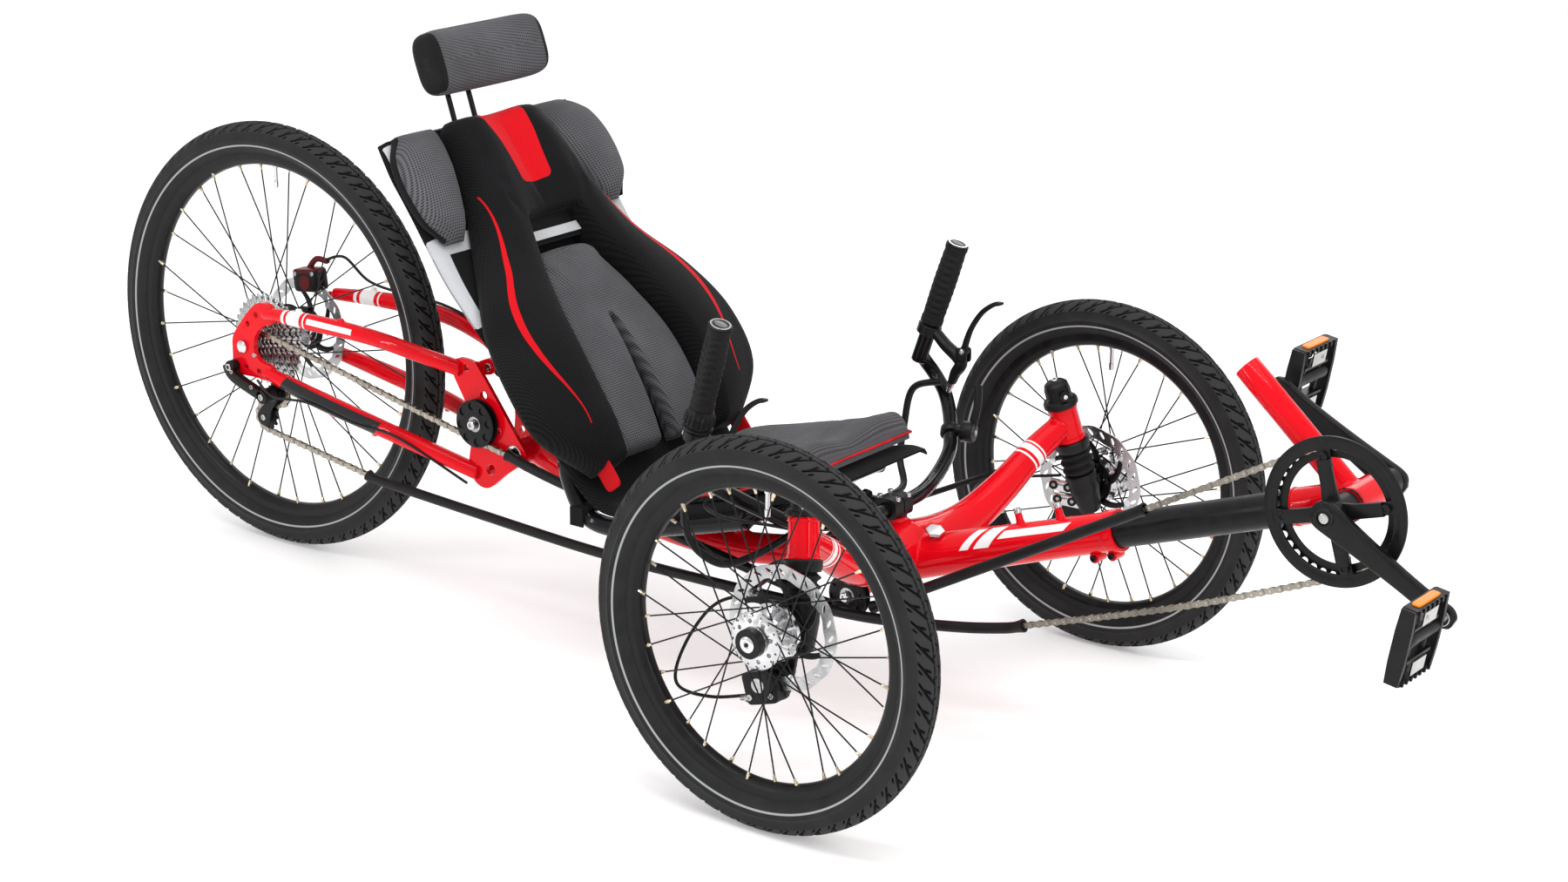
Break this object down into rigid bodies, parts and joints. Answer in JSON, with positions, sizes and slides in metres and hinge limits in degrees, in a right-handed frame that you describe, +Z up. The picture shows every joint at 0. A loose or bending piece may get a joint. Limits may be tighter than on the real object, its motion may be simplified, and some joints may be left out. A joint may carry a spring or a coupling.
{
  "type": "recumbent tricycle",
  "caption": "Tadpole recumbent tricycle: mesh-cushioned reclined seat, under-seat handlebar, sliding boom with cranks, sprung wheels, disc brakes and chain drive run in tubes.",
  "frame": {"origin": "on the ground, midway between the rear tyre's back and the front pedal's front, on the middle plane", "axes": "+X forwards along the trike, +Y to the rider's left, +Z up"},
  "size_m": [2.2677, 0.857, 0.8423],
  "materials": {
    "frame_red": "gloss",
    "metal_black": "satin",
    "plastic_black": "matte",
    "steel": "satin",
    "chain_steel": "oiled",
    "tyre": "matte",
    "rubber": "matte",
    "mesh_black": "ribbed mesh",
    "mesh_grey": "ribbed mesh"
  },
  "bodies": {
    "frame": {"main_frame": "frame_red", "chain_tube_front": "plastic_black", "chain_tube_rear": "plastic_black", "chain_tube_return": "plastic_black", "seat_frame": "metal_black", "seat_sling": "mesh_black", "back_cushion": "mesh_black", "lumbar_pad": "mesh_grey", "wing_left": "mesh_grey", "wing_right": "mesh_grey", "seat_cushion": "mesh_grey"},
    "boom": {"boom": "metal_black", "chain_front": "chain_steel"},
    "crank": {"crank_right": "metal_black", "crank_left": "metal_black", "chainring": "metal_black"},
    "pedal_right": {"pedal_right": "plastic_black"},
    "pedal_left": {"pedal_left": "plastic_black"},
    "idler_front": {"idler_front": "plastic_black"},
    "steering": {"handlebar": "metal_black", "handlebar_stem": "metal_black", "grip_left": "rubber", "grip_right": "rubber"},
    "brake_lever_left": {"brake_lever_left": "metal_black"},
    "brake_lever_right": {"brake_lever_right": "metal_black"},
    "twist_shifter": {"twist_shifter": "plastic_black"},
    "thumb_lever": {"thumb_lever": "plastic_black"},
    "tie_rod_left": {"tie_rod_left": "metal_black"},
    "tie_rod_right": {"tie_rod_right": "metal_black"},
    "kingpin_left": {"kingpin_left": "metal_black", "bellows_left": "rubber"},
    "kingpin_right": {"kingpin_right": "metal_black", "bellows_right": "rubber"},
    "upright_left": {"upright_left": "metal_black", "caliper_left": "metal_black"},
    "upright_right": {"upright_right": "metal_black", "caliper_right": "metal_black"},
    "front_wheel_left": {"front_tyre_left": "tyre", "front_wheel_left": "metal_black", "front_rotor_left": "steel"},
    "front_wheel_right": {"front_tyre_right": "tyre", "front_wheel_right": "metal_black", "front_rotor_right": "steel"},
    "rear_arm": {"swingarm": "frame_red", "pivot_axle": "steel", "caliper_rear": "metal_black", "chain_rear": "chain_steel"},
    "rear_wheel": {"rear_tyre": "tyre", "rear_wheel": "metal_black", "rear_rotor": "steel"},
    "cassette": {"cassette": "steel"},
    "idler_rear": {"idler_rear": "plastic_black"},
    "shock_body": {"shock_body": "metal_black"},
    "shock_shaft": {"shock_shaft": "steel"},
    "derailleur": {"derailleur_body": "metal_black"},
    "derailleur_cage": {"derailleur_cage": "metal_black"},
    "jockey_upper": {"jockey_upper": "plastic_black"},
    "jockey_lower": {"jockey_lower": "plastic_black"},
    "headrest": {"headrest_cushion": "mesh_grey", "headrest_post": "metal_black"}
  },
  "joints": [
    {"name": "boom_slide", "type": "slide", "parent": "frame", "child": "boom", "axis": [0.9466, 0, 0.3223], "range_m": [-0.03, 0.05], "deforming": ["chain_front"]},
    {"name": "crank_spin", "type": "hinge", "parent": "boom", "child": "crank", "pos_m": [0.96362, 0, 0.437], "axis": [0, 1, 0], "continuous": true},
    {"name": "pedal_right_spin", "type": "hinge", "parent": "crank", "child": "pedal_right", "pos_m": [1.11638, -0.155, 0.35163], "axis": [0, 1, 0], "continuous": true},
    {"name": "pedal_left_spin", "type": "hinge", "parent": "crank", "child": "pedal_left", "pos_m": [0.81086, 0.155, 0.52238], "axis": [0, 1, 0], "continuous": true},
    {"name": "idler_front_spin", "type": "hinge", "parent": "frame", "child": "idler_front", "pos_m": [0.28062, -0.057, 0.1765], "axis": [0, 1, 0], "continuous": true},
    {"name": "handlebar_steer", "type": "hinge", "parent": "frame", "child": "steering", "pos_m": [0.30862, 0, 0.248], "axis": [0, 0, 1], "range_deg": [-19, 19]},
    {"name": "brake_lever_left_pull", "type": "hinge", "parent": "steering", "child": "brake_lever_left", "pos_m": [0.25362, 0.244, 0.435], "axis": [0, -1, 0], "range_deg": [0, 20], "stiffness_Nm_per_rad": 1.5},
    {"name": "brake_lever_right_pull", "type": "hinge", "parent": "steering", "child": "brake_lever_right", "pos_m": [0.22462, -0.244, 0.41], "axis": [0, -1, 0], "range_deg": [0, 20], "stiffness_Nm_per_rad": 1.5},
    {"name": "twist_shifter_turn", "type": "hinge", "parent": "steering", "child": "twist_shifter", "pos_m": [0.17362, -0.251, 0.405], "axis": [0.2887, -0.0666, 0.9551], "range_deg": [-60, 60]},
    {"name": "thumb_lever_turn", "type": "hinge", "parent": "steering", "child": "thumb_lever", "pos_m": [0.28312, 0.2157, 0.332], "axis": [0.9798, 0.2, 0], "range_deg": [-25, 40]},
    {"name": "kingpin_left_turn", "type": "hinge", "parent": "frame", "child": "kingpin_left", "pos_m": [0.38728, 0.30809, 0.321], "axis": [-0.173, -0.2533, 0.9518], "range_deg": [-20, 20]},
    {"name": "suspension_left", "type": "slide", "parent": "kingpin_left", "child": "upright_left", "axis": [-0.173, -0.2533, 0.9518], "range_m": [0, 0.022], "stiffness_N_per_m": 15000, "springref_m": -0.012, "deforming": ["bellows_left"]},
    {"name": "front_wheel_left_spin", "type": "hinge", "parent": "upright_left", "child": "front_wheel_left", "pos_m": [0.39262, 0.3935, 0.248], "axis": [0, 1, 0], "continuous": true},
    {"name": "tie_rod_left_turn", "type": "hinge", "parent": "steering", "child": "tie_rod_left", "pos_m": [0.24662, 0.02, 0.258], "axis": [0.0599, 0.0091, 0.9982], "range_deg": [-21, 21]},
    {"name": "kingpin_right_turn", "type": "hinge", "parent": "frame", "child": "kingpin_right", "pos_m": [0.38728, -0.30809, 0.321], "axis": [-0.173, 0.2533, 0.9518], "range_deg": [-20, 20]},
    {"name": "suspension_right", "type": "slide", "parent": "kingpin_right", "child": "upright_right", "axis": [-0.173, 0.2533, 0.9518], "range_m": [0, 0.022], "stiffness_N_per_m": 15000, "springref_m": -0.012, "deforming": ["bellows_right"]},
    {"name": "front_wheel_right_spin", "type": "hinge", "parent": "upright_right", "child": "front_wheel_right", "pos_m": [0.39262, -0.3935, 0.248], "axis": [0, 1, 0], "continuous": true},
    {"name": "tie_rod_right_turn", "type": "hinge", "parent": "steering", "child": "tie_rod_right", "pos_m": [0.24662, -0.02, 0.258], "axis": [0.0599, -0.0091, 0.9982], "range_deg": [-21, 21]},
    {"name": "swingarm_pivot", "type": "hinge", "parent": "frame", "child": "rear_arm", "pos_m": [-0.30438, 0, 0.249], "axis": [0, 1, 0], "range_deg": [0, 7], "stiffness_Nm_per_rad": 2300, "springref_deg": -2.01, "deforming": ["chain_rear"]},
    {"name": "rear_wheel_spin", "type": "hinge", "parent": "rear_arm", "child": "rear_wheel", "pos_m": [-0.80988, 0, 0.3245], "axis": [0, 1, 0], "continuous": true},
    {"name": "cassette_spin", "type": "hinge", "parent": "rear_arm", "child": "cassette", "pos_m": [-0.80988, -0.0413, 0.3245], "axis": [0, 1, 0], "continuous": true},
    {"name": "idler_rear_spin", "type": "hinge", "parent": "rear_arm", "child": "idler_rear", "pos_m": [-0.36538, -0.057, 0.2855], "axis": [0, 1, 0], "continuous": true},
    {"name": "shock_body_turn", "type": "hinge", "parent": "frame", "child": "shock_body", "pos_m": [-0.26238, 0, 0.277], "axis": [0, 1, 0], "range_deg": [-0.5, 7]},
    {"name": "shock_shaft_slide", "type": "slide", "parent": "shock_body", "child": "shock_shaft", "axis": [-0.8288, 0, 0.5596], "range_m": [-0.008, 0.0005]},
    {"name": "derailleur_turn", "type": "hinge", "parent": "rear_arm", "child": "derailleur", "pos_m": [-0.82788, -0.0768, 0.2925], "axis": [0, 1, 0], "range_deg": [-3, 8], "stiffness_Nm_per_rad": 2},
    {"name": "derailleur_cage_turn", "type": "hinge", "parent": "derailleur", "child": "derailleur_cage", "pos_m": [-0.76088, -0.057, 0.258], "axis": [0, 1, 0], "range_deg": [-15, 15], "stiffness_Nm_per_rad": 1},
    {"name": "jockey_upper_spin", "type": "hinge", "parent": "derailleur_cage", "child": "jockey_upper", "pos_m": [-0.76088, -0.057, 0.258], "axis": [0, 1, 0], "continuous": true},
    {"name": "jockey_lower_spin", "type": "hinge", "parent": "derailleur_cage", "child": "jockey_lower", "pos_m": [-0.78338, -0.057, 0.217], "axis": [0, 1, 0], "continuous": true},
    {"name": "headrest_slide", "type": "slide", "parent": "frame", "child": "headrest", "axis": [-0.3152, 0, 0.949], "range_m": [0, 0.035]}
  ],
  "couplings": [
    {"joint": "cassette_spin", "follows": "crank_spin", "ratio": 3.1667},
    {"joint": "idler_front_spin", "follows": "crank_spin", "ratio": -3.0118},
    {"joint": "idler_rear_spin", "follows": "crank_spin", "ratio": -3.0118},
    {"joint": "jockey_upper_spin", "follows": "crank_spin", "ratio": -3.5721},
    {"joint": "jockey_lower_spin", "follows": "crank_spin", "ratio": 3.5721},
    {"joint": "kingpin_left_turn", "follows": "handlebar_steer", "ratio": 0.9723},
    {"joint": "kingpin_right_turn", "follows": "handlebar_steer", "ratio": 0.9723},
    {"joint": "tie_rod_left_turn", "follows": "handlebar_steer", "ratio": -1.0398},
    {"joint": "tie_rod_right_turn", "follows": "handlebar_steer", "ratio": -1.0398},
    {"joint": "shock_body_turn", "follows": "swingarm_pivot", "ratio": 0.873},
    {"joint": "shock_shaft_slide", "follows": "swingarm_pivot", "m_per_rad": -0.0473}
  ]
}
